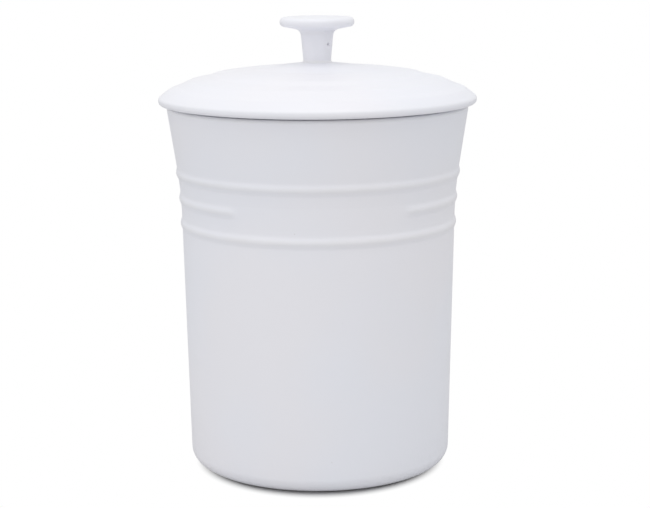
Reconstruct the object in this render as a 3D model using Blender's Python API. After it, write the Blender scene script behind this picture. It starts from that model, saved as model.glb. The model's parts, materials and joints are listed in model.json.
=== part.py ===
"""Glazed stoneware storage canister: a flared pot with ribs and a domed lid that lifts off.

Metres, +Z up. The origin is the middle of the foot, on the ground, and the front looks along -Y.
The four pieces are the pot, the lid, the knob that is luted on the lid, and the soft ring that
sits in the groove of the lid's plug. Each is turned from an outline of (radius, height) points.
"""

import math

import bmesh
import bpy
import numpy as np
from mathutils import Matrix, Vector

# Facets of the turned pieces
SEGMENTS = 56
KNOB_SEGMENTS = 32
VENT_SEGMENTS = 12
ARC_STEP = math.radians(24)
SMOOTH_ANGLE = math.radians(35)

# Clearances
SEAT_GAP = 0.0003
CUT_OVERRUN = 0.002
WELD = 1e-7

# Pot: from the knee the wall tapers in to the base and flares straight out to the rim
POT_HEIGHT = 0.2184
KNEE_RADIUS = 0.0826
KNEE_BELOW_RIM = 0.0504
BASE_TAPER = 0.0037
RIM_FLARE = 0.0077
KNEE_ROUND = 0.200
BASE_ROUND = 0.012
RIM_ROUND = 0.0022
POT_WALL = 0.0060
POT_FLOOR = 0.0075
FLOOR_ROUND = 0.010
FOOT_WIDTH = 0.0062
FOOT_RECESS = 0.0026
FOOT_SLOPE = 0.0014

# Ribs round the pot: the middle one stops at each side of a bare panel in front
RIB_COUNT = 3
RIB_PITCH = 0.0151
TOP_RIB_BELOW_RIM = 0.0400
RIB_HEIGHT = 0.0082
RIB_DEPTH = 0.0013
RIB_STEPS = 6
PANEL_ANGLE = math.radians(77)
PANEL_TURN = math.radians(2)
RIB_END = 0.0060

# Lid: a lip that overhangs the rim, a stepped dome, and a plug that hangs inside the mouth
LID_OVERHANG = 0.0047
LIP_THICKNESS = 0.0060
LIP_ROUND = 0.0042
LIP_UNDERCUT = 0.0021
LIP_UNDER_ROUND = 0.0029
DOME_RISE = 0.0187
LEDGE_ROUND = 0.0040
LID_WALL = 0.0056
HOLLOW_ROUND = 0.0080
PLUG_CLEARANCE = 0.0034
PLUG_DEPTH = 0.0128
PLUG_WALL = 0.0062
PLUG_ROUND = 0.0012
GROOVE_DEPTH = 0.0026
GROOVE_HEIGHT = 0.0068
# The dome's corners from the crown out over three ledges: shares of the lid's radius and the rise
DOME_SHARES = (
    (0.24, 0.905),
    (0.38, 0.805),
    (0.51, 0.765),
    (0.64, 0.675),
    (0.70, 0.565),
    (0.80, 0.465),
    (0.875, 0.29),
    (0.93, 0.19),
)
# Where the hollow under the dome bends, as a share of the lid's radius
HOLLOW_SHARE = 0.55

# Knob: a hollow cast stem that opens into a flat round grip, with a small firing vent
KNOB_RADIUS = 0.0222
KNOB_HEIGHT = 0.0268
GRIP_THICKNESS = 0.0055
GRIP_ROUND = 0.0026
GRIP_CROWN = 0.0005
GRIP_SLOPE = 0.0024
STEM_TOP_RADIUS = 0.0099
STEM_FOOT_RADIUS = 0.0081
NECK_ROUND = 0.0045
KNOB_FOOT_RADIUS = 0.0110
KNOB_FOOT_ROUND = 0.0026
KNOB_FOOT_EDGE = 0.0004
KNOB_WALL = 0.0031
CORE_ROUND = 0.0030
VENT_RADIUS = 0.0008
VENT_HEIGHT = 0.0106
VENT_TURN = math.radians(50)

# Seal: a soft band in the plug's groove, with fins that reach the pot's bore
SEAL_BAND = 0.0020
SEAL_CLEARANCE = 0.0003
FIN_COUNT = 3
FIN_THICKNESS = 0.0010
FIN_TIP = 0.0006
FIN_RISE = 0.0008

# Finishes: colour, roughness
GLAZE_COLOUR = (0.86, 0.87, 0.89, 1.0)
GLAZE_ROUGHNESS = 0.18
SEAL_COLOUR = (0.78, 0.78, 0.76, 1.0)
SEAL_ROUGHNESS = 0.55

# Places that follow from the sizes
FRONT = -math.pi / 2
FIRST_TURN = FRONT + PANEL_TURN
BASE_RADIUS = KNEE_RADIUS - BASE_TAPER
RIM_RADIUS = KNEE_RADIUS + RIM_FLARE
KNEE_LEVEL = POT_HEIGHT - KNEE_BELOW_RIM
LID_LEVEL = POT_HEIGHT + SEAT_GAP
LID_RADIUS = RIM_RADIUS + LID_OVERHANG
CROWN_LEVEL = LIP_THICKNESS + DOME_RISE
KNOB_SEAT_RADIUS = KNOB_FOOT_RADIUS + SEAT_GAP
FLANGE_HEIGHT = (PLUG_DEPTH - GROOVE_HEIGHT) / 2


def clear_scene():
    for thing in list(bpy.data.objects):
        bpy.data.objects.remove(thing)


def rounded(corners):
    """Outline through (radius, height, round) corners, where a round above zero becomes an arc."""
    outline = []
    for index, (radius, height, fillet) in enumerate(corners):
        if fillet == 0:
            outline.append((radius, height))
            continue
        corner = Vector((radius, height))
        back = Vector(corners[index - 1][:2]) - corner
        ahead = Vector(corners[index + 1][:2]) - corner
        turn = math.pi - back.angle(ahead)
        reach = min(fillet * math.tan(turn / 2), back.length / 2, ahead.length / 2)
        start = corner + back.normalized() * reach
        bisector = (back.normalized() + ahead.normalized()).normalized()
        centre = corner + bisector * (reach / math.sin(turn / 2))
        side = math.copysign(turn, ahead.x * back.y - ahead.y * back.x)
        steps = math.ceil(turn / ARC_STEP)
        for step in range(steps + 1):
            spoke = Matrix.Rotation(side * step / steps, 2) @ (start - centre)
            outline.append(tuple(centre + spoke))
    return outline


def turned(name, outline, segments, closed=False):
    """Mesh made by turning an outline about Z, from the middle of the front."""
    shape = bmesh.new()
    across, along = math.cos(FIRST_TURN), math.sin(FIRST_TURN)
    line = [shape.verts.new((r * across, r * along, height)) for r, height in outline]
    followers = line[1:] + line[:1] if closed else line[1:]
    edges = [shape.edges.new(pair) for pair in zip(line, followers)]
    bmesh.ops.spin(
        shape,
        geom=line + edges,
        cent=(0, 0, 0),
        axis=(0, 0, 1),
        angle=math.tau,
        steps=segments,
        use_merge=True,
    )
    bmesh.ops.remove_doubles(shape, verts=shape.verts[:], dist=WELD)
    bmesh.ops.recalc_face_normals(shape, faces=shape.faces[:])
    mesh = bpy.data.meshes.new(name)
    shape.to_mesh(mesh)
    shape.free()
    mesh.shade_smooth()
    mesh.set_sharp_from_angle(angle=SMOOTH_ANGLE)
    return mesh


def placed(name, mesh, material, parent=None, height=0):
    """Object of this mesh, at this height on its parent's axis."""
    piece = bpy.data.objects.new(name, mesh)
    piece.location.z = height
    piece.parent = parent
    piece.data.materials.append(material)
    bpy.context.scene.collection.objects.link(piece)
    return piece


def axis_empty(name, parent=None, height=0):
    """Empty on the canister's axis that carries the pieces that move with it."""
    empty = bpy.data.objects.new(name, None)
    empty.location.z = height
    empty.parent = parent
    bpy.context.scene.collection.objects.link(empty)
    return empty


def finish(name, colour, roughness):
    material = bpy.data.materials.new(name)
    material.use_nodes = True
    shader = material.node_tree.nodes["Principled BSDF"]
    shader.inputs["Base Color"].default_value = colour
    shader.inputs["Roughness"].default_value = roughness
    shader.inputs["Metallic"].default_value = 0
    return material


# Pot


def bore_radius(height):
    """Radius of the pot's inner wall at this height, along its two straight stretches."""
    levels = (0, KNEE_LEVEL, POT_HEIGHT)
    return float(np.interp(height, levels, (BASE_RADIUS, KNEE_RADIUS, RIM_RADIUS))) - POT_WALL


def rib_level(index):
    return POT_HEIGHT - TOP_RIB_BELOW_RIM - index * RIB_PITCH


def rib_rows():
    """Heights of the rows of points that shape the ribs, from the lowest up."""
    steps = range(-RIB_STEPS // 2, RIB_STEPS // 2 + 1)
    return sorted(
        rib_level(index) + RIB_HEIGHT * step / RIB_STEPS
        for index in range(RIB_COUNT)
        for step in steps
    )


def past_panel(turn):
    """0 on the bare panel and 1 on the rest of the middle rib, with soft rib ends between."""
    past = (abs(turn) - PANEL_ANGLE / 2) * KNEE_RADIUS / RIB_END + 0.5
    share = min(max(past, 0), 1)
    return share * share * (3 - 2 * share)


def rib_lift(height, turn):
    """How far the ribs stand out of the wall at this height and turn from the panel's middle."""
    lift = 0
    for index in range(RIB_COUNT):
        across = (height - rib_level(index)) / RIB_HEIGHT
        if abs(across) < 0.5:
            bead = (1 + math.cos(math.tau * across)) / 2
            lift += RIB_DEPTH * bead * (past_panel(turn) if index == RIB_COUNT // 2 else 1)
    return lift


def pot_outline():
    """From the middle of the base, out and up the wall, over the rim and down to the floor."""
    foot_outside = BASE_RADIUS - BASE_ROUND
    foot_inside = foot_outside - FOOT_WIDTH
    outline = rounded(
        (
            (0, FOOT_RECESS, 0),
            (foot_inside - FOOT_SLOPE, FOOT_RECESS, 0),
            (foot_inside, 0, 0),
            (BASE_RADIUS, 0, BASE_ROUND),
            (KNEE_RADIUS, KNEE_LEVEL, KNEE_ROUND),
            (RIM_RADIUS, POT_HEIGHT, RIM_ROUND),
            (RIM_RADIUS - POT_WALL, POT_HEIGHT, RIM_ROUND),
            (KNEE_RADIUS - POT_WALL, KNEE_LEVEL, KNEE_ROUND + POT_WALL),
            (BASE_RADIUS - POT_WALL, POT_FLOOR, FLOOR_ROUND),
            (0, POT_FLOOR, 0),
        )
    )
    dense = []
    for (r, z), (next_r, next_z) in zip(outline, outline[1:]):
        dense.append((r, z))
        for row in rib_rows():
            if z < row < next_z:
                share = (row - z) / (next_z - z)
                dense.append((r + (next_r - r) * share, row))
    return dense + outline[-1:]


def make_pot(glaze):
    """Turned pot whose outer wall is then raised along the ribs."""
    mesh = turned("canister_body", pot_outline(), SEGMENTS)
    for point in mesh.vertices:
        radius = point.co.xy.length
        if radius > bore_radius(point.co.z) + POT_WALL / 2:
            turn = math.remainder(math.atan2(point.co.y, point.co.x) - FIRST_TURN, math.tau)
            point.co.xy *= 1 + rib_lift(point.co.z, turn) / radius
    return placed("canister_body", mesh, glaze)


# Lid


def plug_radius():
    return bore_radius(LID_LEVEL - PLUG_DEPTH) - PLUG_CLEARANCE


def dome_corners():
    """Corners of the dome, from the edge of the knob's seat out to the lip."""
    corners = [(KNOB_SEAT_RADIUS, CROWN_LEVEL)]
    for radius_share, rise_share in DOME_SHARES:
        corners.append((LID_RADIUS * radius_share, LIP_THICKNESS + DOME_RISE * rise_share))
    return corners + [(LID_RADIUS, LIP_THICKNESS)]


def hollow_level(radius):
    """Height of the hollow under the dome, one wall below the dome's corners."""
    radii, levels = zip(*dome_corners())
    return float(np.interp(radius, radii, levels)) - LID_WALL


def lid_outline():
    """From the crown out over the ledges, round the lip, down the plug and up into the hollow."""
    plug = plug_radius()
    groove = plug - GROOVE_DEPTH
    inside = plug - PLUG_WALL
    bend = LID_RADIUS * HOLLOW_SHARE
    seat, *ledges, lip = dome_corners()
    return rounded(
        (
            (0, CROWN_LEVEL, 0),
            (*seat, 0),
            *((radius, height, LEDGE_ROUND) for radius, height in ledges),
            (*lip, LIP_ROUND),
            (LID_RADIUS, LIP_UNDERCUT, LIP_UNDER_ROUND),
            (RIM_RADIUS - RIM_ROUND, 0, 0),
            (plug, 0, 0),
            (plug, -FLANGE_HEIGHT, 0),
            (groove, -FLANGE_HEIGHT, 0),
            (groove, -FLANGE_HEIGHT - GROOVE_HEIGHT, 0),
            (plug, -FLANGE_HEIGHT - GROOVE_HEIGHT, 0),
            (plug, -PLUG_DEPTH, PLUG_ROUND),
            (inside, -PLUG_DEPTH, PLUG_ROUND),
            (inside, hollow_level(inside), HOLLOW_ROUND),
            (bend, hollow_level(bend), HOLLOW_ROUND),
            (0, CROWN_LEVEL - LID_WALL, 0),
        )
    )


def make_lid(glaze, parent):
    return placed("lid", turned("lid", lid_outline(), SEGMENTS), glaze, parent)


# Knob


def knob_outline():
    """From the top of the grip, under it and down the stem to the foot, then up the hollow."""
    grip_under = KNOB_HEIGHT - GRIP_THICKNESS
    return rounded(
        (
            (0, KNOB_HEIGHT, 0),
            (KNOB_RADIUS, KNOB_HEIGHT - GRIP_CROWN, GRIP_ROUND),
            (KNOB_RADIUS, grip_under, GRIP_ROUND),
            (STEM_TOP_RADIUS, grip_under - GRIP_SLOPE, NECK_ROUND),
            (STEM_FOOT_RADIUS, KNOB_FOOT_EDGE, KNOB_FOOT_ROUND),
            (KNOB_FOOT_RADIUS, KNOB_FOOT_EDGE, 0),
            (KNOB_FOOT_RADIUS, 0, 0),
            (STEM_FOOT_RADIUS - KNOB_WALL, 0, 0),
            (STEM_TOP_RADIUS - KNOB_WALL, KNOB_HEIGHT - KNOB_WALL, CORE_ROUND),
            (0, KNOB_HEIGHT - KNOB_WALL, 0),
        )
    )


def vent_cutter(parent, knob_level):
    """Pin that runs out of the stem's hollow through its wall, to the right of the front."""
    length = STEM_TOP_RADIUS + CUT_OVERRUN
    turn = FRONT + VENT_TURN
    shape = bmesh.new()
    bmesh.ops.create_cone(
        shape,
        cap_ends=True,
        segments=VENT_SEGMENTS,
        radius1=VENT_RADIUS,
        radius2=VENT_RADIUS,
        depth=length,
    )
    mesh = bpy.data.meshes.new("vent_cutter")
    shape.to_mesh(mesh)
    shape.free()
    cutter = bpy.data.objects.new("vent_cutter", mesh)
    cutter.parent = parent
    middle = length / 2
    height = knob_level + VENT_HEIGHT
    cutter.location = (middle * math.cos(turn), middle * math.sin(turn), height)
    cutter.rotation_euler = (0, math.pi / 2, turn)
    cutter.hide_render = True
    cutter.display_type = "WIRE"
    bpy.context.scene.collection.objects.link(cutter)
    return cutter


def make_knob(glaze, parent):
    """Knob with its foot one lute joint above the crown."""
    level = CROWN_LEVEL + SEAT_GAP
    mesh = turned("knob", knob_outline(), KNOB_SEGMENTS)
    knob = placed("knob", mesh, glaze, parent, level)
    vent = knob.modifiers.new("vent", "BOOLEAN")
    vent.operation = "DIFFERENCE"
    vent.solver = "EXACT"
    vent.object = vent_cutter(parent, level)
    return knob


# Seal


def seal_outline():
    """Band in the groove and, up its outer side, fins that slant up to just short of the bore."""
    inside = plug_radius() - GROOVE_DEPTH + SEAT_GAP
    band = inside + SEAL_BAND
    low = -FLANGE_HEIGHT - GROOVE_HEIGHT + SEAT_GAP
    high = -FLANGE_HEIGHT - SEAT_GAP
    pitch = (high - low) / FIN_COUNT
    outline = [(inside, low), (band, low)]
    for index in range(FIN_COUNT):
        root = low + pitch * (index + 0.5)
        tip = root + FIN_RISE
        reach = bore_radius(LID_LEVEL + tip - FIN_TIP / 2) - SEAL_CLEARANCE
        outline += [
            (band, root - FIN_THICKNESS / 2),
            (reach, tip - FIN_TIP / 2),
            (reach, tip + FIN_TIP / 2),
            (band, root + FIN_THICKNESS / 2),
        ]
    return outline + [(band, high), (inside, high)]


def make_seal(silicone, parent):
    mesh = turned("lid_seal", seal_outline(), SEGMENTS, closed=True)
    return placed("lid_seal", mesh, silicone, parent)


def main():
    clear_scene()
    glaze = finish("white_glaze", GLAZE_COLOUR, GLAZE_ROUGHNESS)
    lid_glaze = finish("lid_glaze", GLAZE_COLOUR, GLAZE_ROUGHNESS)
    knob_glaze = finish("knob_glaze", GLAZE_COLOUR, GLAZE_ROUGHNESS)
    silicone = finish("silicone", SEAL_COLOUR, SEAL_ROUGHNESS)
    lid_lift = axis_empty("lid_lift", height=LID_LEVEL)
    lid_turn = axis_empty("lid_turn", parent=lid_lift)
    make_pot(glaze)
    make_seal(silicone, lid_lift)
    make_lid(lid_glaze, lid_turn)
    make_knob(knob_glaze, lid_turn)


main()
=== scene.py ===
"""Glazed stoneware storage canister: the turned pieces, their glaze and the photographer's table.

Metres, +Z up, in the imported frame: the origin is the middle of the foot and the front looks
along -Y. Each piece is turned about Z by a Geometry Nodes tree from an outline of points.
"""

import json
import math

import bmesh
import bpy
from bpy.props import FloatProperty, FloatVectorProperty, IntProperty, PointerProperty
from mathutils import Matrix, Vector


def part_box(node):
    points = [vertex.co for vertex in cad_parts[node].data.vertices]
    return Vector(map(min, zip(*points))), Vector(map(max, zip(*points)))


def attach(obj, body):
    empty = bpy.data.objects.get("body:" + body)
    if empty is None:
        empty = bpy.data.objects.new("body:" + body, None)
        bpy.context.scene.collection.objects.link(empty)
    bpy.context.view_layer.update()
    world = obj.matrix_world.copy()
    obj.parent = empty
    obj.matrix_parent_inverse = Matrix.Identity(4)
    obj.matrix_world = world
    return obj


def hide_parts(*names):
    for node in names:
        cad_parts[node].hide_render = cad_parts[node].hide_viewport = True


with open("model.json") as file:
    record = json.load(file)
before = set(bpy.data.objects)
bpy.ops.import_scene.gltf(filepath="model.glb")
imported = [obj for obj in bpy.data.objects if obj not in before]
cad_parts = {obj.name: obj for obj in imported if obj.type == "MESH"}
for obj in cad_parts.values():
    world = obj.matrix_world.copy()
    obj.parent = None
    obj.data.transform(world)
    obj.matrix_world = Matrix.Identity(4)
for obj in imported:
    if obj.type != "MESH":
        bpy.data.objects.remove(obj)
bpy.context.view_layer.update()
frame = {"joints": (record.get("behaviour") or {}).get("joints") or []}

bl_info = {
    "name": "Storage canister",
    "version": (1, 0, 0),
    "blender": (4, 5, 0),
    "location": "View3D > Sidebar > Canister",
    "description": "Turns and glazes a ribbed stoneware canister with a domed lid",
    "category": "Add Mesh",
}

# Places that the frame fixes
POT_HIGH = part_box("canister_body")[1]
LID_LOW, LID_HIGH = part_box("lid")
KNOB_LOW, KNOB_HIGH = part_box("knob")
SEAL_LOW, SEAL_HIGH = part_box("lid_seal")
JOINTS = {joint["name"]: joint for joint in frame["joints"]}
LID_LEVEL = JOINTS["lid_turn"]["pos_m"][2]
FRONT = -math.pi / 2

# Fineness of the turned meshes
ARC_STEP = math.radians(7)
SHARP_ANGLE = math.radians(40)
RAIL_RADIUS = 0.1
WELD = 1e-6
RIB_STEP = 0.0006
SMALL_STEP = 0.0012
LID_STEP = 0.004
WALL_STEP = 0.005
TABLE_SEGMENTS = 96
VENT_SEGMENTS = 32

# Largest round that the glaze treats as a sharp edge
SHARP_ROUND = 0.002
# How the glaze lies on a rib's crest, with the opposite at the rib's feet
CREST_LIE = -0.5
# How the glaze lies where its effects show fully
FULL_LIE = 0.9

# Noises: features to the metre, detail and, where it isn't the usual half, roughness
PATCHES = (11, 1.5)
RIPPLES = (22, 1.0)
SCUFFS = (38, 4.0, 0.6)
WANDER = (60, 3.0)
SILICONE_CLOUDS = (90, 4.0, 0.6)
ORANGE_PEEL = (420, 1.5)
FINE_SCUFFS = (900, 2.0)
SILICONE_GRAIN = (1400, 2.0)
CLAY_GRAIN = (1600, 3.0, 0.7)

# Spots: cells to the metre, share of them without one, radius in cells, share of it that is soft
SPECKS = (150, 0.965, 0.055, 0.5)
PINHOLES = (260, 0.97, 0.10, 0.9)

# Values of a noise between which its effect comes in
BROAD_RANGE = (0.35, 0.65)
CLOUD_RANGE = (0.45, 0.8)
SCUFF_RANGE = (0.52, 0.74)
GRAIN_RANGE = (0.35, 0.7)
WANDER_RANGE = (0.3, 0.7)

# Least share of an effect where the noise that breaks it up is low
THIN_LEAST = 0.6
SCUFF_LEAST = 0.4

# Strongest shares of the glaze's effects
THIN_SHARE = 0.55
POOLED_SHARE = 0.6
SPECK_SHARE = 0.35

# Half the width in which the glaze gives way to bare clay, as a share of the dry height
DRY_EDGE = 0.12

GLAZE_IOR = 1.52
SILICONE_IOR = 1.41
TABLE_ROUGHNESS = 0.9
TABLE_SHINE = 0.1


def length(name, description, default):
    return FloatProperty(
        name=name, description=description, default=default, precision=5, unit="LENGTH"
    )


def share(name, description, default):
    return FloatProperty(
        name=name, description=description, default=default, subtype="FACTOR", soft_max=1
    )


def angle(name, description, degrees):
    return FloatProperty(
        name=name, description=description, default=math.radians(degrees), subtype="ANGLE"
    )


def colour(name, description, default):
    return FloatVectorProperty(
        name=name, description=description, default=default, subtype="COLOR", size=3
    )


def power(name, watts):
    return FloatProperty(name=name, description="Its power", default=watts, unit="POWER")


class PotSizes(bpy.types.PropertyGroup):
    """The pot: its wall tapers in to the base and flares out to the rim from the knee"""

    height: length("Height", "From the table to the top of the rim", POT_HIGH.z)
    knee_radius: length("Knee radius", "Outer radius where the flare begins", 0.0826)
    knee_below_rim: length("Knee below rim", "Height of the flared stretch", 0.0504)
    base_taper: length("Base taper", "How much narrower the base is than the knee", 0.0037)
    rim_flare: length("Rim flare", "How much wider the rim is than the knee", 0.0077)
    wall: length("Wall", "Thickness of the wall", 0.0060)
    floor: length("Floor", "Level of the floor inside", 0.0075)
    knee_round: length("Knee round", "Radius of the soft bend at the knee", 0.200)
    base_round: length("Base round", "Radius of the lower outer edge", 0.012)
    floor_round: length("Floor round", "Radius of the corner inside", 0.010)
    rim_round: length("Rim round", "Radius of the rim's two edges", 0.0022)
    foot_width: length("Foot width", "Width of the bare ring that it stands on", 0.0062)
    foot_recess: length("Foot recess", "How far the base is raised inside the foot", 0.0026)
    foot_slope: length("Foot slope", "Width of the foot's inner slope", 0.0014)
    segments: IntProperty(name="Segments", description="Facets round the pot", default=240)


class RibSizes(bpy.types.PropertyGroup):
    """The ribs round the pot, the middle one of which stops beside a bare panel"""

    count: IntProperty(name="Count", description="Number of ribs", default=3, min=1)
    pitch: length("Pitch", "Height from one rib to the next", 0.0151)
    top_below_rim: length("Top below rim", "From the rim down to the top rib", 0.0400)
    height: length("Height", "Height of one rib on the wall", 0.0082)
    depth: length("Depth", "How far a rib stands out of the wall", 0.0010)
    panel_angle: angle("Panel angle", "How much of the turn the bare panel takes", 74)
    panel_turn: angle("Panel turn", "How far the panel's middle is right of the front", 1)
    end: length("Rib end", "Length in which the middle rib dies out", 0.0060)


class LidSizes(bpy.types.PropertyGroup):
    """The lid: a lip that overhangs the rim, a stepped dome and a plug with a groove"""

    radius: length("Radius", "Outer radius of the lip", LID_HIGH.x)
    lip: length("Lip", "Thickness of the lip", 0.0046)
    lip_round: length("Lip round", "Radius of the lip's upper edge", 0.0024)
    lip_undercut: length("Lip undercut", "How far its underside rises past the rim", 0.0010)
    lip_under_round: length("Lip under round", "Radius of the lip's lower edge", 0.0022)
    ledge_round: length("Ledge round", "Radius of the ledges' bends", 0.0040)
    wall: length("Wall", "Thickness of the dome", 0.0056)
    hollow_round: length("Hollow round", "Radius of the bends inside", 0.0080)
    plug_clearance: length("Plug clearance", "From the plug to the pot's bore", 0.0034)
    plug_wall: length("Plug wall", "Thickness of the plug", 0.0062)
    plug_round: length("Plug round", "Radius of the plug's lower edges", 0.0012)
    groove_depth: length("Groove depth", "Depth of the seal's groove", 0.0026)
    groove_height: length("Groove height", "Height of the seal's groove", 0.0068)
    groove_round: length("Groove round", "Radius of the glazed edges of the groove", 0.0005)
    segments: IntProperty(name="Segments", description="Facets round the lid", default=240)


class KnobSizes(bpy.types.PropertyGroup):
    """The knob: a hollow stem that opens into a flat round grip"""

    radius: length("Radius", "Radius of the grip", KNOB_HIGH.x)
    grip: length("Grip", "Thickness of the grip's edge", 0.0055)
    grip_round: length("Grip round", "Radius of the grip's edges", 0.0026)
    grip_crown: length("Grip crown", "How far the top is domed", 0.0005)
    grip_slope: length("Grip slope", "How far the underside falls to the stem", 0.0024)
    stem_top: length("Stem top", "Radius of the stem under the grip", 0.0099)
    stem_foot: length("Stem foot", "Radius of the stem at the lid", 0.0081)
    neck_round: length("Neck round", "Radius of the bend from the grip to the stem", 0.0045)
    skirt: length("Skirt", "Radius at which the stem's foot runs out on the lid", 0.0136)
    skirt_round: length("Skirt round", "Radius of the bend at the stem's foot", 0.0018)
    skirt_sink: length("Skirt sink", "How far the skirt's edge lies in the lid", 0.00005)
    wall: length("Wall", "Thickness of the knob's wall", 0.0031)
    core_round: length("Core round", "Radius of the hollow's upper edge", 0.0030)
    vent_radius: length("Vent radius", "Radius of the firing vent", 0.0008)
    vent_mouth: length("Vent mouth", "Radius of the vent's softened mouth", 0.0013)
    vent_height: length("Vent height", "From the stem's foot up to the vent", 0.0106)
    vent_turn: angle("Vent turn", "How far the vent is right of the front", 50)
    segments: IntProperty(name="Segments", description="Facets round the knob", default=144)


class SealSizes(bpy.types.PropertyGroup):
    """The soft ring in the plug's groove"""

    band: length("Band", "Thickness of the band in the groove", 0.0020)
    clearance: length("Clearance", "From the seal to what it lies in", 0.0003)
    fin_count: IntProperty(name="Fins", description="Number of fins", default=3, min=1)
    fin_root: length("Fin root", "Thickness of a fin at the band", 0.0010)
    fin_tip: length("Fin tip", "Thickness of a fin at its edge", 0.0006)
    fin_rise: length("Fin rise", "How far a fin slants up", 0.0008)
    tip_round: length("Tip round", "Radius of the fins' edges", 0.00025)
    segments: IntProperty(name="Segments", description="Facets round the seal", default=200)


class GlazeLook(bpy.types.PropertyGroup):
    """The white glaze on the pot, the lid and the knob"""

    white: colour("White", "Colour of the glaze where it lies evenly", (0.872, 0.869, 0.908))
    cool: colour("Cool", "Colour of its broad cooler patches", (0.857, 0.870, 0.924))
    thin: colour("Thin", "Colour on edges where the clay warms it", (0.79, 0.78, 0.775))
    pooled: colour("Pooled", "Colour in hollows where it gathers", (0.868, 0.873, 0.918))
    speck: colour("Speck", "Colour of the few specks under the glaze", (0.42, 0.39, 0.36))
    clay: colour("Clay", "Colour of the bare fired clay", (0.60, 0.565, 0.51))
    roughness: share("Roughness", "Roughness of the clean glaze", 0.34)
    scuffed: share("Scuffed", "Roughness where it is a little scuffed", 0.44)
    clay_roughness: share("Clay roughness", "Roughness of the bare clay", 0.85)
    ripple: length("Ripple", "Height of the slow waves in the glaze", 0.00022)
    peel: length("Peel", "Height of the fine orange peel", 0.000022)
    pinhole: length("Pinhole", "Depth of the few pinholes", 0.00006)
    grit: length("Grit", "Height of the bare clay's grain", 0.00012)
    dry_height: length("Dry height", "How far up from a lower edge it is wiped off", 0.0006)


class SiliconeLook(bpy.types.PropertyGroup):
    """The milky silicone of the seal"""

    body: colour("Body", "Colour of the silicone", (0.70, 0.70, 0.68))
    dusty: colour("Dusty", "Colour where fine dust clings to it", (0.60, 0.59, 0.565))
    roughness: share("Roughness", "Roughness of the moulded surface", 0.45)
    worn: share("Worn", "Roughness where it has rubbed", 0.62)
    grain: length("Grain", "Height of the mould's fine texture", 0.00003)


class StageLook(bpy.types.PropertyGroup):
    """The table, the light tent, the two lights and the camera"""

    table_radius: length("Table radius", "Radius of the table", 9.0)
    # The grey that the camera sees close to the foot is painted shade: it darkens the real contact
    # shadow
    table: colour("Table", "Colour the camera sees close to the foot", (0.40, 0.40, 0.405))
    bounce: colour("Bounce", "Colour of the light that the table sends back", (0.66, 0.66, 0.665))
    # Radii, shift and squeeze of that ring of painted shade round the foot
    shade_radius: length("Shade radius", "Radius round the foot that keeps its shade", 0.0713)
    clear_radius: length("Clear radius", "Radius past which the table is plain white", 0.0827)
    shade_shift: length("Shade shift", "How far the shade lies towards the front", 0.003)
    shade_squeeze: share("Shade squeeze", "How much narrower the shade is from side to side", 0.07)
    zenith: colour("Zenith", "Light of the tent overhead", (0.865, 0.865, 0.87))
    horizon: colour("Horizon", "Light of the tent's lower walls", (0.825, 0.825, 0.83))
    top_size: length("Top light size", "Side of the light above the front", 0.9)
    top_height: length("Top light height", "Height of that light over the table", 1.65)
    top_forward: length("Top light forward", "How far in front of the canister it is", 0.45)
    top_watts: power("Top light", 4.4)
    side_size: length("Side light size", "Side of the light at the left front", 1.2)
    side_distance: length("Side light distance", "From the canister to that light", 1.41)
    side_watts: power("Side light", 1.8)
    side_turn: angle("Side light turn", "How far it stands left of the front", 45)
    side_height: length("Side light height", "Height of that light over the table", 0.95)
    camera_distance: length("Camera distance", "From the axis to the camera", 1.050)
    camera_height: length("Camera height", "Height of the camera over the table", 0.32641)
    lens: FloatProperty(name="Lens", description="Focal length", default=97.29, unit="CAMERA")
    pan: angle("Pan", "Turn of the camera to the right", 0.209)
    tilt: angle("Tilt", "Tilt of the camera above the horizon", -10.757)
    roll: angle("Roll", "Roll of the camera, anticlockwise as it looks", -0.40)


class CanisterSettings(bpy.types.PropertyGroup):
    """Everything that the operators read"""

    pot: PointerProperty(type=PotSizes)
    ribs: PointerProperty(type=RibSizes)
    lid: PointerProperty(type=LidSizes)
    knob: PointerProperty(type=KnobSizes)
    seal: PointerProperty(type=SealSizes)
    glaze: PointerProperty(type=GlazeLook)
    silicone: PointerProperty(type=SiliconeLook)
    stage: PointerProperty(type=StageLook)


# Outlines, as lists of (radius, height, glaze depth) points


def rounded(corners, closed=False):
    """Outline through (radius, height, round) corners, where a round above zero becomes an arc.

    The third value of its points is how the glaze lies: below zero where it runs thin over an
    outer edge and above zero where it gathers in an inner one, to 1 at a sharp corner.
    """
    outline = []
    for index, (radius, height, fillet) in enumerate(corners):
        if fillet == 0:
            outline.append((radius, height, 0.0))
            continue
        corner = Vector((radius, height))
        back = Vector(corners[index - 1][:2]) - corner
        ahead = Vector(corners[(index + 1) % len(corners)][:2]) - corner
        turn = math.pi - back.angle(ahead)
        reach = min(fillet * math.tan(turn / 2), back.length / 2, ahead.length / 2)
        start = corner + back.normalized() * reach
        centre = corner + (back.normalized() + ahead.normalized()).normalized() * (
            reach / math.sin(turn / 2)
        )
        side = math.copysign(turn, ahead.x * back.y - ahead.y * back.x)
        lie = math.copysign(min(1, SHARP_ROUND / fillet) * min(1, turn), -side)
        steps = max(2, math.ceil(turn / ARC_STEP))
        for step in range(steps + 1):
            spoke = Matrix.Rotation(side * step / steps, 2) @ (start - centre)
            outline.append((*(centre + spoke), lie * math.sin(math.pi * step / steps)))
    return outline + outline[:1] if closed else outline


def spaced(outline, spacing):
    """The outline with points added, so that no step is longer than spacing(height)."""
    dense = []
    for here, ahead in zip(outline, outline[1:]):
        here, ahead = Vector(here), Vector(ahead)
        gap = (ahead.xy - here.xy).length
        steps = max(1, math.ceil(gap / min(spacing(here.y), spacing(ahead.y))))
        dense += [here.lerp(ahead, step / steps) for step in range(steps)]
    return dense + [Vector(outline[-1])]


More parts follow.
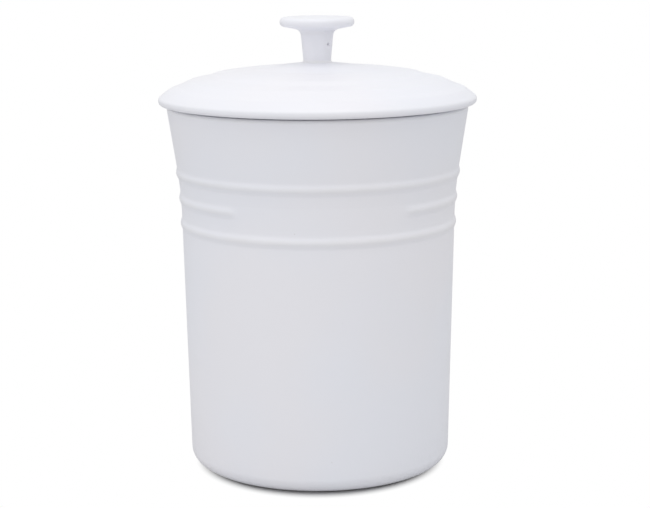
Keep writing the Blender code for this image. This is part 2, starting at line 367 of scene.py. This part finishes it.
def pot_outline(pot, ribs):
    """From the middle of the base, out and up the wall, over the rim and down to the floor."""
    base = pot.knee_radius - pot.base_taper
    rim = pot.knee_radius + pot.rim_flare
    knee_level = pot.height - pot.knee_below_rim
    foot_outside = base - pot.base_round
    foot_inside = foot_outside - pot.foot_width
    top = pot.height - ribs.top_below_rim + ribs.height
    low = top - (ribs.count - 1) * ribs.pitch - 2 * ribs.height
    slope = (pot.knee_radius - base) / knee_level
    corners = (
        (0, pot.foot_recess, 0),
        (foot_inside - pot.foot_slope, pot.foot_recess, pot.foot_slope / 2),
        (foot_inside, 0, pot.foot_slope / 2),
        (base, 0, pot.base_round),
        (base + slope * low, low, 0),
        (pot.knee_radius, knee_level, pot.knee_round),
        (rim, pot.height, pot.rim_round),
        (rim - pot.wall, pot.height, pot.rim_round),
        (pot.knee_radius - pot.wall, knee_level, pot.knee_round + pot.wall),
        (base - pot.wall, pot.floor, pot.floor_round),
        (0, pot.floor, 0),
    )
    outline = rounded(corners)
    crest = max(range(len(outline)), key=lambda index: outline[index][1])
    outside = spaced(outline[: crest + 1], lambda z: RIB_STEP if low <= z <= top else WALL_STEP)
    return outside[:-1] + spaced(outline[crest:], lambda z: WALL_STEP)


def bore_radius(pot, height):
    """Radius of the pot's inner wall at this height in its flared stretch."""
    rise = (height - pot.height + pot.knee_below_rim) / pot.knee_below_rim
    return pot.knee_radius + pot.rim_flare * rise - pot.wall


# The dome's corners from the crown out over three ledges: shares of the lid's radius and the rise
DOME_SHARES = (
    (0.24, 0.912),
    (0.38, 0.819),
    (0.51, 0.782),
    (0.64, 0.698),
    (0.70, 0.596),
    (0.80, 0.503),
    (0.875, 0.340),
    (0.93, 0.247),
)
# Where the hollow under the dome bends, as a share of the lid's radius
HOLLOW_SHARE = 0.55


def dome_corners(lid, knob):
    """Corners of the dome's upper side, from the knob's seat out to the lip."""
    lip_top = LID_LEVEL + lid.lip
    rise = LID_HIGH.z - lip_top
    ledges = [(lid.radius * out, lip_top + rise * up) for out, up in DOME_SHARES]
    return [(knob.stem_foot, LID_HIGH.z), *ledges, (lid.radius, lip_top)]


def height_on(corners, radius):
    """Height of the straight lines through these corners at this radius."""
    for (r, z), (next_r, next_z) in zip(corners, corners[1:]):
        if radius <= next_r:
            return z + (next_z - z) * max(0, radius - r) / (next_r - r)
    return corners[-1][1]


def lid_outline(lid, pot, knob):
    """From the crown out over the ledges, round the lip, down the plug and up into the hollow."""
    plug = bore_radius(pot, LID_LOW.z) - lid.plug_clearance
    groove = plug - lid.groove_depth
    inside = plug - lid.plug_wall
    flange = (LID_LEVEL - LID_LOW.z - lid.groove_height) / 2
    groove_top = LID_LEVEL - flange
    groove_low = groove_top - lid.groove_height
    edge = lid.groove_round
    bend = lid.radius * HOLLOW_SHARE
    dome = dome_corners(lid, knob)
    corners = (
        (0, LID_HIGH.z, 0),
        (*dome[0], lid.ledge_round),
        *((r, z, lid.ledge_round) for r, z in dome[1:-1]),
        (*dome[-1], lid.lip_round),
        (lid.radius, LID_LEVEL + lid.lip_undercut, lid.lip_under_round),
        (pot.knee_radius + pot.rim_flare - pot.rim_round, LID_LEVEL, lid.lip_under_round),
        (plug, LID_LEVEL, edge),
        (plug, groove_top, edge),
        (groove, groove_top, edge),
        (groove, groove_low, edge),
        (plug, groove_low, edge),
        (plug, LID_LOW.z, lid.plug_round),
        (inside, LID_LOW.z, lid.plug_round),
        (inside, height_on(dome, inside) - lid.wall, lid.hollow_round),
        (bend, height_on(dome, bend) - lid.wall, lid.hollow_round),
        (0, LID_HIGH.z - lid.wall, 0),
    )
    return spaced(rounded(corners), lambda z: LID_STEP)


def knob_outline(knob, lid):
    """From the top of the grip, under it, down the stem, in under its foot and up the hollow."""
    under = KNOB_HIGH.z - knob.grip
    skirt_level = height_on(dome_corners(lid, knob), knob.skirt) - knob.skirt_sink
    corners = (
        (0, KNOB_HIGH.z, 0),
        (knob.radius, KNOB_HIGH.z - knob.grip_crown, knob.grip_round),
        (knob.radius, under, knob.grip_round),
        (knob.stem_top, under - knob.grip_slope, knob.neck_round),
        (knob.stem_foot, LID_HIGH.z, knob.skirt_round),
        (knob.skirt, skirt_level, 0),
        (knob.skirt, skirt_level - knob.skirt_sink, 0),
        (knob.stem_foot - knob.wall, LID_HIGH.z - 2 * knob.skirt_sink, 0),
        (knob.stem_top - knob.wall, KNOB_HIGH.z - knob.wall, knob.core_round),
        (0, KNOB_HIGH.z - knob.wall, 0),
    )
    return spaced(rounded(corners), lambda z: SMALL_STEP)


def seal_outline(seal, lid, pot):
    """Band in the groove and, up its outer side, fins that slant up to just short of the bore."""
    plug = bore_radius(pot, LID_LOW.z) - lid.plug_clearance
    inside = plug - lid.groove_depth + seal.clearance
    band = inside + seal.band
    pitch = (SEAL_HIGH.z - SEAL_LOW.z) / seal.fin_count
    edge = seal.tip_round
    corners = [(inside, SEAL_LOW.z, edge), (band, SEAL_LOW.z, edge)]
    for index in range(seal.fin_count):
        root = SEAL_LOW.z + pitch * (index + 0.5)
        tip = root + seal.fin_rise
        reach = bore_radius(pot, tip - seal.fin_tip / 2) - seal.clearance
        corners += [
            (band, root - seal.fin_root / 2, edge),
            (reach, tip - seal.fin_tip / 2, edge),
            (reach, tip + seal.fin_tip / 2, edge),
            (band, root + seal.fin_root / 2, edge),
        ]
    corners += [(band, SEAL_HIGH.z, edge), (inside, SEAL_HIGH.z, edge)]
    return spaced(rounded(corners, closed=True), lambda z: SMALL_STEP)


# Geometry Nodes


class Wiring:
    """Adds nodes to a tree, each with its settings, and its inputs as values or links."""

    def __init__(self, tree):
        self.tree = tree

    def add(self, kind, *inputs, **settings):
        """A new node. Inputs fill its sockets in order, and None leaves one as it is."""
        made = self.tree.nodes.new(kind)
        for name, value in settings.items():
            setattr(made, name, value)
        for socket, value in zip([s for s in made.inputs if s.enabled], inputs):
            self.feed(socket, value)
        return made

    def feed(self, socket, value):
        if isinstance(value, bpy.types.NodeSocket):
            self.tree.links.new(value, socket)
        elif value is not None:
            socket.default_value = value

    def maths(self, operation, *values):
        """Output of a math node on one to three values or sockets."""
        return self.add("ShaderNodeMath", *values, operation=operation).outputs[0]

    def vector(self, operation, *values):
        """First output of a vector math node."""
        return self.add("ShaderNodeVectorMath", *values, operation=operation).outputs[0]

    def output(self, kind, name, *inputs, **settings):
        """Named output of a new node."""
        return self.add(kind, *inputs, **settings).outputs[name]


def new_tree(name, inputs):
    """Geometry tree with an outline going in, these named inputs, and a piece coming out."""
    tree = bpy.data.node_groups.new(name, "GeometryNodeTree")
    tree.interface.new_socket("Outline", in_out="INPUT", socket_type="NodeSocketGeometry")
    for label, kind, default in inputs:
        socket = tree.interface.new_socket(label, in_out="INPUT", socket_type=kind)
        if default is not None:
            socket.default_value = default
    tree.interface.new_socket("Piece", in_out="OUTPUT", socket_type="NodeSocketGeometry")
    return tree


def turning_tree():
    """Turns an outline drawn in X (radius) and Y (height) about Z and closes its poles."""
    found = bpy.data.node_groups.get("turn_outline")
    if found:
        return found
    tree = new_tree("turn_outline", (("Segments", "NodeSocketInt", 64),))
    wires = Wiring(tree)
    given = wires.add("NodeGroupInput")
    place = wires.output("GeometryNodeInputPosition", "Position")
    parts = wires.add("ShaderNodeSeparateXYZ", place)
    inward = wires.maths("SUBTRACT", parts.outputs["X"], RAIL_RADIUS)
    downward = wires.maths("MULTIPLY", parts.outputs["Y"], -1)
    shifted = wires.output("ShaderNodeCombineXYZ", "Vector", inward, downward, 0)
    laid = wires.output(
        "GeometryNodeSetPosition", "Geometry", given.outputs["Outline"], None, shifted
    )
    profile = wires.output("GeometryNodeMeshToCurve", "Curve", laid)
    circle = wires.add("GeometryNodeCurvePrimitiveCircle", mode="RADIUS")
    wires.feed(circle.inputs["Resolution"], given.outputs["Segments"])
    circle.inputs["Radius"].default_value = RAIL_RADIUS
    rail = wires.output(
        "GeometryNodeSetCurveNormal", "Curve", circle.outputs["Curve"], mode="Z_UP"
    )
    swept = wires.add("GeometryNodeCurveToMesh")
    wires.feed(swept.inputs["Curve"], rail)
    wires.feed(swept.inputs["Profile Curve"], profile)
    merged = wires.add("GeometryNodeMergeByDistance")
    wires.feed(merged.inputs["Geometry"], swept.outputs["Mesh"])
    merged.inputs["Distance"].default_value = WELD
    leaving = wires.add("NodeGroupOutput")
    wires.feed(leaving.inputs["Piece"], merged.outputs["Geometry"])
    return tree


def close_tree(wires, geometry, material):
    """Ends a piece's tree with real geometry in this material."""
    real = wires.output("GeometryNodeRealizeInstances", "Geometry", geometry)
    dressed = wires.add("GeometryNodeSetMaterial")
    wires.feed(dressed.inputs["Geometry"], real)
    wires.feed(dressed.inputs["Material"], material)
    leaving = wires.add("NodeGroupOutput")
    wires.feed(leaving.inputs["Piece"], dressed.outputs["Geometry"])


def turned(wires, outline, segments):
    """The turned mesh of an outline, as a socket."""
    group = wires.add("GeometryNodeGroup", node_tree=turning_tree())
    wires.feed(group.inputs["Outline"], outline)
    wires.feed(group.inputs["Segments"], segments)
    return group.outputs["Piece"]


def plain_tree():
    """Tree of a piece that is turned and nothing more."""
    inputs = (("Segments", "NodeSocketInt", 64), ("Material", "NodeSocketMaterial", None))
    tree = new_tree("turned_piece", inputs)
    wires = Wiring(tree)
    given = wires.add("NodeGroupInput").outputs
    close_tree(wires, turned(wires, given["Outline"], given["Segments"]), given["Material"])
    return tree


RIB_INPUTS = (
    ("Rib Count", "NodeSocketInt", 3),
    ("Rib Pitch", "NodeSocketFloat", 0.015),
    ("Top Rib Level", "NodeSocketFloat", 0.178),
    ("Rib Height", "NodeSocketFloat", 0.008),
    ("Rib Depth", "NodeSocketFloat", 0.001),
    ("Panel Middle", "NodeSocketFloat", FRONT),
    ("Panel Angle", "NodeSocketFloat", 1.3),
    ("Rib End", "NodeSocketFloat", 0.006),
    ("Wall Radius", "NodeSocketFloat", 0.08),
    ("Wall Middle", "NodeSocketFloat", 0.075),
)


def ribbed_tree():
    """Tree of the pot: turned, then its outer wall is raised along the ribs."""
    inputs = (("Segments", "NodeSocketInt", 64), ("Material", "NodeSocketMaterial", None))
    tree = new_tree("ribbed_pot", inputs + RIB_INPUTS)
    wires = Wiring(tree)
    given = wires.add("NodeGroupInput").outputs
    maths = wires.maths
    place = wires.output("GeometryNodeInputPosition", "Position")
    x, y, z = wires.add("ShaderNodeSeparateXYZ", place).outputs

    # The nearest rib, and how far across it a point lies, from -0.5 to 0.5
    below_top = maths("DIVIDE", maths("SUBTRACT", given["Top Rib Level"], z), given["Rib Pitch"])
    last = maths("SUBTRACT", given["Rib Count"], 1)
    index = maths("MINIMUM", maths("MAXIMUM", maths("ROUND", below_top), 0), last)
    off_centre = maths("MULTIPLY", maths("SUBTRACT", index, below_top), given["Rib Pitch"])
    across = maths("DIVIDE", off_centre, given["Rib Height"])
    on_rib = maths("LESS_THAN", maths("ABSOLUTE", across), 0.5)
    wave = maths("COSINE", maths("MULTIPLY", across, math.tau))
    bead = maths("MULTIPLY", maths("MULTIPLY_ADD", wave, 0.5, 0.5), on_rib)

    # The middle rib dies out beside the bare panel
    turn = maths("SUBTRACT", maths("ARCTAN2", y, x), given["Panel Middle"])
    turn = maths("WRAP", turn, math.pi, -math.pi)
    half_panel = maths("DIVIDE", given["Panel Angle"], 2)
    past = maths("SUBTRACT", maths("ABSOLUTE", turn), half_panel)
    past = maths("DIVIDE", maths("MULTIPLY", past, given["Wall Radius"]), given["Rib End"])
    past = wires.add("ShaderNodeMapRange", past, -0.5, 0.5, 0, 1, interpolation_type="SMOOTHSTEP")
    middle = maths("COMPARE", index, maths("FLOOR", maths("DIVIDE", given["Rib Count"], 2)), 0.1)
    shown = maths("SUBTRACT", 1, maths("MULTIPLY", middle, maths("SUBTRACT", 1, past.outputs[0])))

    # Only the outer side of the wall is raised
    flat = wires.output("ShaderNodeCombineXYZ", "Vector", x, y, 0)
    radius = wires.output("ShaderNodeVectorMath", "Value", flat, operation="LENGTH")
    outside = maths("GREATER_THAN", radius, given["Wall Middle"])
    shown = maths("MULTIPLY", shown, outside)
    lift = maths("MULTIPLY", maths("MULTIPLY", bead, shown), given["Rib Depth"])
    outward = wires.vector("NORMALIZE", flat)
    offset = wires.add("ShaderNodeVectorMath", outward, operation="SCALE")
    wires.feed(offset.inputs["Scale"], lift)

    # The glaze runs thin on the crests and gathers at the ribs' feet
    depth = wires.output("GeometryNodeInputNamedAttribute", "Attribute", "glaze_depth")
    lie = maths("MULTIPLY", maths("MULTIPLY", wave, maths("MULTIPLY", on_rib, shown)), CREST_LIE)
    stored = wires.add("GeometryNodeStoreNamedAttribute", domain="POINT", data_type="FLOAT")
    wires.feed(stored.inputs["Geometry"], turned(wires, given["Outline"], given["Segments"]))
    stored.inputs["Name"].default_value = "glaze_depth"
    wires.feed(stored.inputs["Value"], maths("ADD", depth, lie))
    raised = wires.add("GeometryNodeSetPosition")
    wires.feed(raised.inputs["Geometry"], stored.outputs["Geometry"])
    wires.feed(raised.inputs["Offset"], offset.outputs[0])
    close_tree(wires, raised.outputs["Geometry"], given["Material"])
    return tree


def set_inputs(modifier, values):
    """Sets a Geometry Nodes modifier's inputs by label, through their identifiers."""
    for item in modifier.node_group.interface.items_tree:
        if item.item_type == "SOCKET" and item.in_out == "INPUT" and item.name in values:
            modifier[item.identifier] = values[item.name]


def outline_mesh(name, outline):
    """Line of points in X (radius) and Y (height) that carries how deep the glaze lies."""
    closed = (Vector(outline[0]) - Vector(outline[-1])).length < WELD
    points = outline[:-1] if closed else outline
    edges = [(index, index + 1) for index in range(len(points) - 1)]
    if closed:
        edges.append((len(points) - 1, 0))
    mesh = bpy.data.meshes.new(name)
    mesh.from_pydata([(r, z, 0) for r, z, lie in points], edges, [])
    depth = mesh.attributes.new("glaze_depth", "FLOAT", "POINT")
    depth.data.foreach_set("value", [lie for r, z, lie in points])
    return mesh


def turn_piece(name, outline, tree, values):
    """Object made by the tree from this outline, as a plain closed mesh with faces out."""
    piece = bpy.data.objects.new(name, outline_mesh(name + "_outline", outline))
    bpy.context.scene.collection.objects.link(piece)
    modifier = piece.modifiers.new("turning", "NODES")
    modifier.node_group = tree
    set_inputs(modifier, values)
    graph = bpy.context.evaluated_depsgraph_get()
    mesh = bpy.data.meshes.new_from_object(piece.evaluated_get(graph))
    piece.modifiers.remove(modifier)
    line = piece.data
    piece.data = mesh
    bpy.data.meshes.remove(line)
    mesh.name = name
    face_out(mesh)
    return piece


def face_out(mesh):
    """Turns every face of a closed mesh outwards and shades it smooth but for its edges."""
    shape = bmesh.new()
    shape.from_mesh(mesh)
    bmesh.ops.recalc_face_normals(shape, faces=shape.faces[:])
    shape.to_mesh(mesh)
    shape.free()
    mesh.shade_smooth()
    mesh.set_sharp_from_angle(angle=SHARP_ANGLE)


# Materials


def new_material(name):
    """Material with a Principled shader, and the wiring of its tree."""
    material = bpy.data.materials.new(name)
    material.use_nodes = True
    return material, Wiring(material.node_tree), material.node_tree.nodes["Principled BSDF"]


def noise(wires, place, scale, detail, rough=0.5):
    """Value of a noise with this many features to the metre."""
    made = wires.add("ShaderNodeTexNoise")
    wires.feed(made.inputs["Vector"], place)
    made.inputs["Scale"].default_value = scale
    made.inputs["Detail"].default_value = detail
    made.inputs["Roughness"].default_value = rough
    return made.outputs["Fac"]


def ramp(wires, value, low, high, to_low=0.0, to_high=1.0, kind="SMOOTHSTEP"):
    """Value carried smoothly from one range to another."""
    made = wires.add(
        "ShaderNodeMapRange", value, low, high, to_low, to_high, interpolation_type=kind
    )
    return made.outputs["Result"]


def mixed(wires, factor, first, second):
    """Colour between two others, each given as a colour or a socket."""
    made = wires.add("ShaderNodeMix", data_type="RGBA", clamp_factor=True)
    sockets = made.inputs[0], made.inputs[6], made.inputs[7]
    for socket, value in zip(sockets, (factor, first, second)):
        wires.feed(socket, value if not hasattr(value, "r") else (*value, 1.0))
    return made.outputs[2]


def bumped(wires, height, distance, before=None):
    """Normal raised by a height from 0 to 1 over this distance, on top of another one."""
    made = wires.add("ShaderNodeBump")
    made.inputs["Strength"].default_value = 1.0
    made.inputs["Distance"].default_value = distance
    wires.feed(made.inputs["Height"], height)
    wires.feed(made.inputs["Normal"], before)
    return made.outputs["Normal"]


def spots(wires, place, scale, rarity, radius, soft):
    """1 in round spots of this radius, as a share of a cell, in a few cells of a fine lattice."""
    cells = wires.add("ShaderNodeTexVoronoi", feature="F1", distance="EUCLIDEAN")
    wires.feed(cells.inputs["Vector"], place)
    cells.inputs["Scale"].default_value = scale
    chosen = wires.add("ShaderNodeSeparateColor")
    wires.feed(chosen.inputs[0], cells.outputs["Color"])
    few = wires.maths("GREATER_THAN", chosen.outputs[0], rarity)
    round_spot = ramp(wires, cells.outputs["Distance"], radius * (1 - soft), radius, 1.0, 0.0)
    return wires.maths("MULTIPLY", few, round_spot)


def glaze_material(name, look, dry_level=None):
    """White glaze, wiped off to the bare fired clay just above dry_level where one is given."""
    material, wires, shader = new_material(name)
    maths = wires.maths
    place = wires.output("ShaderNodeTexCoord", "Object")
    depth = wires.add("ShaderNodeAttribute", attribute_name="glaze_depth").outputs["Fac"]
    patches = ramp(wires, noise(wires, place, *PATCHES), *BROAD_RANGE)
    wander = noise(wires, place, *WANDER)
    broken = ramp(wires, wander, *WANDER_RANGE, THIN_LEAST, 1.0)
    thin = maths("MULTIPLY", ramp(wires, depth, 0.0, -FULL_LIE, kind="LINEAR"), THIN_SHARE)
    gathered = maths("MULTIPLY", ramp(wires, depth, 0.0, FULL_LIE, kind="LINEAR"), POOLED_SHARE)
    specks = maths("MULTIPLY", spots(wires, place, *SPECKS), SPECK_SHARE)

    tone = mixed(wires, patches, look.white, look.cool)
    tone = mixed(wires, maths("MULTIPLY", thin, broken), tone, look.thin)
    tone = mixed(wires, gathered, tone, look.pooled)
    tone = mixed(wires, specks, tone, look.speck)

    fine = noise(wires, place, *FINE_SCUFFS)
    scuffs = ramp(wires, noise(wires, place, *SCUFFS), *SCUFF_RANGE)
    scuffs = maths("MULTIPLY", scuffs, ramp(wires, fine, *BROAD_RANGE, SCUFF_LEAST, 1.0))
    rough = ramp(wires, scuffs, 0, 1, look.roughness, look.scuffed, kind="LINEAR")

    ripple = bumped(wires, noise(wires, place, *RIPPLES), look.ripple)
    peel = bumped(wires, noise(wires, place, *ORANGE_PEEL), look.peel, ripple)
    pits = spots(wires, place, *PINHOLES)
    normal = bumped(wires, maths("SUBTRACT", 1, pits), look.pinhole, peel)

    if dry_level is not None:
        height = wires.add("ShaderNodeSeparateXYZ", place).outputs["Z"]
        edge = maths("MULTIPLY_ADD", wander, look.dry_height, dry_level + look.dry_height / 2)
        above = maths("DIVIDE", maths("SUBTRACT", height, edge), look.dry_height)
        dry = ramp(wires, above, -DRY_EDGE, DRY_EDGE, 1.0, 0.0)
        grains = noise(wires, place, *CLAY_GRAIN)
        clay = mixed(wires, ramp(wires, grains, *GRAIN_RANGE), look.clay, look.thin)
        tone = mixed(wires, dry, tone, clay)
        spread = maths("SUBTRACT", look.clay_roughness, rough)
        rough = maths("MULTIPLY_ADD", dry, spread, rough)
        normal = bumped(wires, maths("MULTIPLY", grains, dry), look.grit, normal)

    wires.feed(shader.inputs["Base Color"], tone)
    wires.feed(shader.inputs["Roughness"], rough)
    wires.feed(shader.inputs["Normal"], normal)
    shader.inputs["Metallic"].default_value = 0
    shader.inputs["IOR"].default_value = GLAZE_IOR
    return material


def silicone_material(look):
    """Milky silicone with a fine moulded grain and a little dust."""
    material, wires, shader = new_material("milky_silicone")
    place = wires.output("ShaderNodeTexCoord", "Object")
    cloudy = ramp(wires, noise(wires, place, *SILICONE_CLOUDS), *CLOUD_RANGE)
    grain = noise(wires, place, *SILICONE_GRAIN)
    wires.feed(shader.inputs["Base Color"], mixed(wires, cloudy, look.body, look.dusty))
    wires.feed(
        shader.inputs["Roughness"],
        ramp(wires, cloudy, 0, 1, look.roughness, look.worn, kind="LINEAR"),
    )
    wires.feed(shader.inputs["Normal"], bumped(wires, grain, look.grain))
    shader.inputs["IOR"].default_value = SILICONE_IOR
    return material


def table_material(look):
    """Table for the camera: a grey of painted shade close round the foot, which darkens the real
    shadow there, and plain white past it. To light: pale.
    """
    material, wires, shader = new_material("white_table")
    shader.inputs["Roughness"].default_value = TABLE_ROUGHNESS
    shader.inputs["Specular IOR Level"].default_value = TABLE_SHINE
    place = wires.output("ShaderNodeTexCoord", "Object")
    # Painted shade: the grey ring round the foot is shifted to the front and squeezed from side to
    # side
    place = wires.vector("MULTIPLY", place, (1 + look.shade_squeeze, 1, 1))
    place = wires.vector("ADD", place, (0, look.shade_shift, 0))
    reach = wires.output("ShaderNodeVectorMath", "Value", place, operation="LENGTH")
    clear = ramp(wires, reach, look.shade_radius, look.clear_radius)
    seen = wires.output("ShaderNodeLightPath", "Is Camera Ray")
    # The camera sees the dark grey as painted shade near the foot; all other rays see the pale
    # bounce colour
    wires.feed(shader.inputs["Base Color"], mixed(wires, seen, look.bounce, look.table))
    plain = wires.add("ShaderNodeEmission")
    plain.inputs["Strength"].default_value = 1.0
    both = wires.add("ShaderNodeMixShader")
    wires.feed(both.inputs[0], wires.maths("MULTIPLY", seen, clear))
    wires.feed(both.inputs[1], shader.outputs[0])
    wires.feed(both.inputs[2], plain.outputs[0])
    wires.feed(material.node_tree.nodes["Material Output"].inputs["Surface"], both.outputs[0])
    return material


# Stage


def make_table(look):
    """Round table under the canister."""
    shape = bmesh.new()
    circle = {"segments": TABLE_SEGMENTS, "radius": look.table_radius}
    bmesh.ops.create_circle(shape, cap_ends=True, **circle)
    mesh = bpy.data.meshes.new("table")
    shape.to_mesh(mesh)
    shape.free()
    mesh.materials.append(table_material(look))
    table = bpy.data.objects.new("table", mesh)
    bpy.context.scene.collection.objects.link(table)


def make_tent(look):
    """Soft light from all round, a little brighter overhead, that the camera sees as white."""
    world = bpy.data.worlds.new("light_tent")
    world.use_nodes = True
    bpy.context.scene.world = world
    wires = Wiring(world.node_tree)
    lit = world.node_tree.nodes["Background"]
    towards = wires.output("ShaderNodeTexCoord", "Generated")
    rise = wires.add("ShaderNodeSeparateXYZ", towards).outputs["Z"]
    glow = mixed(wires, ramp(wires, rise, 0, 1), look.horizon, look.zenith)
    wires.feed(lit.inputs["Color"], glow)
    white = wires.add("ShaderNodeBackground")
    white.inputs["Color"].default_value = (1, 1, 1, 1)
    both = wires.add("ShaderNodeMixShader")
    wires.feed(both.inputs[0], wires.output("ShaderNodeLightPath", "Is Camera Ray"))
    wires.feed(both.inputs[1], lit.outputs[0])
    wires.feed(both.inputs[2], white.outputs[0])
    wires.feed(world.node_tree.nodes["World Output"].inputs["Surface"], both.outputs[0])


def soft_light(name, place, target, size, watts):
    """Square area light at this place, turned to the target."""
    data = bpy.data.lights.new(name, "AREA")
    data.size = size
    data.energy = watts
    lamp = bpy.data.objects.new(name, data)
    lamp.location = place
    lamp.rotation_euler = (Vector(target) - Vector(place)).to_track_quat("-Z", "Y").to_euler()
    bpy.context.scene.collection.objects.link(lamp)


def make_camera(look):
    """Camera at the photograph's angle: pan, tilt and roll from looking level along +Y."""
    data = bpy.data.cameras.new("camera")
    data.lens = look.lens
    camera = bpy.data.objects.new("camera", data)
    level = Matrix.Rotation(math.pi / 2, 4, "X")
    turn = Matrix.Rotation(-look.pan, 4, "Z")
    tilt = Matrix.Rotation(look.tilt, 4, "X")
    roll = Matrix.Rotation(look.roll, 4, "Z")
    place = Matrix.Translation((0, -look.camera_distance, look.camera_height))
    camera.matrix_world = place @ turn @ level @ tilt @ roll
    bpy.context.scene.collection.objects.link(camera)
    bpy.context.scene.camera = camera


# Operators


class CANISTER_OT_stage(bpy.types.Operator):
    """Set up the table, the light tent, the lights and the camera"""

    bl_idname = "canister.stage"
    bl_label = "Stage"

    def execute(self, context):
        look = context.scene.canister.stage
        make_table(look)
        make_tent(look)
        middle = (0, 0, POT_HIGH.z / 2)
        place = (0, -look.top_forward, look.top_height)
        soft_light("top_light", place, middle, look.top_size, look.top_watts)
        turn = FRONT - look.side_turn
        out = look.side_distance
        place = (out * math.cos(turn), out * math.sin(turn), look.side_height)
        soft_light("side_light", place, middle, look.side_size, look.side_watts)
        make_camera(look)
        context.scene.view_settings.view_transform = "Standard"
        return {"FINISHED"}


def hand_over(piece, body, node):
    """Lets a finished piece ride on its body and stand for its CAD node."""
    if not piece.data.polygons:
        raise RuntimeError(f"{piece.name} came out empty")
    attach(piece, body)
    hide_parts(node)


class CANISTER_OT_pot(bpy.types.Operator):
    """Turn the pot with its ribs and glaze it"""

    bl_idname = "canister.pot"
    bl_label = "Pot"

    def execute(self, context):
        sizes = context.scene.canister
        pot, ribs = sizes.pot, sizes.ribs
        values = {
            "Segments": pot.segments,
            "Material": glaze_material("pot_glaze", sizes.glaze, 0.0),
            "Rib Count": ribs.count,
            "Rib Pitch": ribs.pitch,
            "Top Rib Level": pot.height - ribs.top_below_rim,
            "Rib Height": ribs.height,
            "Rib Depth": ribs.depth,
            "Panel Middle": FRONT + ribs.panel_turn,
            "Panel Angle": ribs.panel_angle,
            "Rib End": ribs.end,
            "Wall Radius": pot.knee_radius,
            "Wall Middle": pot.knee_radius - pot.wall / 2,
        }
        piece = turn_piece("glazed_pot", pot_outline(pot, ribs), ribbed_tree(), values)
        hand_over(piece, "pot", "canister_body")
        return {"FINISHED"}


class CANISTER_OT_lid(bpy.types.Operator):
    """Turn the lid with its ledges, lip and plug and glaze it"""

    bl_idname = "canister.lid"
    bl_label = "Lid"

    def execute(self, context):
        sizes = context.scene.canister
        values = {
            "Segments": sizes.lid.segments,
            "Material": glaze_material("lid_glaze", sizes.glaze, LID_LOW.z),
        }
        outline = lid_outline(sizes.lid, sizes.pot, sizes.knob)
        piece = turn_piece("domed_lid", outline, plain_tree(), values)
        hand_over(piece, "lid", "lid")
        return {"FINISHED"}


class CANISTER_OT_knob(bpy.types.Operator):
    """Turn the hollow knob, bore its vent and glaze it"""

    bl_idname = "canister.knob"
    bl_label = "Knob"

    def execute(self, context):
        sizes = context.scene.canister
        knob = sizes.knob
        values = {
            "Segments": knob.segments,
            "Material": glaze_material("knob_glaze", sizes.glaze),
        }
        piece = turn_piece("flat_knob", knob_outline(knob, sizes.lid), plain_tree(), values)
        bore_vent(piece, knob)
        hand_over(piece, "lid", "knob")
        return {"FINISHED"}


def bore_vent(piece, knob):
    """Cuts the firing vent through the stem's wall, with a mouth that the glaze has softened."""
    surface = knob.stem_foot + (knob.stem_top - knob.stem_foot) / 2
    lip = knob.vent_mouth - knob.vent_radius
    profile = (
        (0, 0, 0),
        (knob.vent_radius, 0, 0),
        (knob.vent_radius, surface, 2 * lip),
        (surface, surface + lip / 2, 0),
        (surface, surface + knob.wall, 0),
        (0, surface + knob.wall, 0),
    )
    values = {"Segments": VENT_SEGMENTS, "Material": piece.data.materials[0]}
    cutter = turn_piece("vent_cutter", rounded(profile), plain_tree(), values)
    aim = Matrix.Rotation(FRONT + knob.vent_turn, 4, "Z") @ Matrix.Rotation(math.pi / 2, 4, "Y")
    cutter.data.transform(Matrix.Translation((0, 0, KNOB_LOW.z + knob.vent_height)) @ aim)
    cut = piece.modifiers.new("vent", "BOOLEAN")
    cut.operation = "DIFFERENCE"
    cut.solver = "EXACT"
    cut.object = cutter
    graph = bpy.context.evaluated_depsgraph_get()
    mesh = bpy.data.meshes.new_from_object(piece.evaluated_get(graph))
    piece.modifiers.remove(cut)
    piece.data = mesh
    bpy.data.objects.remove(cutter)
    face_out(mesh)


class CANISTER_OT_seal(bpy.types.Operator):
    """Turn the finned silicone seal"""

    bl_idname = "canister.seal"
    bl_label = "Seal"

    def execute(self, context):
        sizes = context.scene.canister
        values = {
            "Segments": sizes.seal.segments,
            "Material": silicone_material(sizes.silicone),
        }
        outline = seal_outline(sizes.seal, sizes.lid, sizes.pot)
        piece = turn_piece("finned_seal", outline, plain_tree(), values)
        hand_over(piece, "seal", "lid_seal")
        return {"FINISHED"}


class CANISTER_PT_panel(bpy.types.Panel):
    """Buttons and sizes of the canister"""

    bl_idname = "CANISTER_PT_panel"
    bl_label = "Storage canister"
    bl_space_type = "VIEW_3D"
    bl_region_type = "UI"
    bl_category = "Canister"

    def draw(self, context):
        sizes = context.scene.canister
        for operator in OPERATORS:
            self.layout.operator(operator.bl_idname)
        for group in GROUPS:
            box = self.layout.box()
            box.label(text=group.capitalize())
            settings = getattr(sizes, group)
            for name in settings.__annotations__:
                box.prop(settings, name)


GROUPS = ("pot", "ribs", "lid", "knob", "seal", "glaze", "silicone", "stage")
OPERATORS = (
    CANISTER_OT_stage,
    CANISTER_OT_pot,
    CANISTER_OT_lid,
    CANISTER_OT_knob,
    CANISTER_OT_seal,
)
CLASSES = (
    PotSizes,
    RibSizes,
    LidSizes,
    KnobSizes,
    SealSizes,
    GlazeLook,
    SiliconeLook,
    StageLook,
    CanisterSettings,
    *OPERATORS,
    CANISTER_PT_panel,
)


def register():
    for one in CLASSES:
        bpy.utils.register_class(one)
    bpy.types.Scene.canister = PointerProperty(type=CanisterSettings)


def unregister():
    del bpy.types.Scene.canister
    for one in reversed(CLASSES):
        bpy.utils.unregister_class(one)


def main():
    register()
    bpy.ops.canister.stage()
    bpy.ops.canister.pot()
    bpy.ops.canister.seal()
    bpy.ops.canister.lid()
    bpy.ops.canister.knob()


if __name__ == "__main__":
    main()
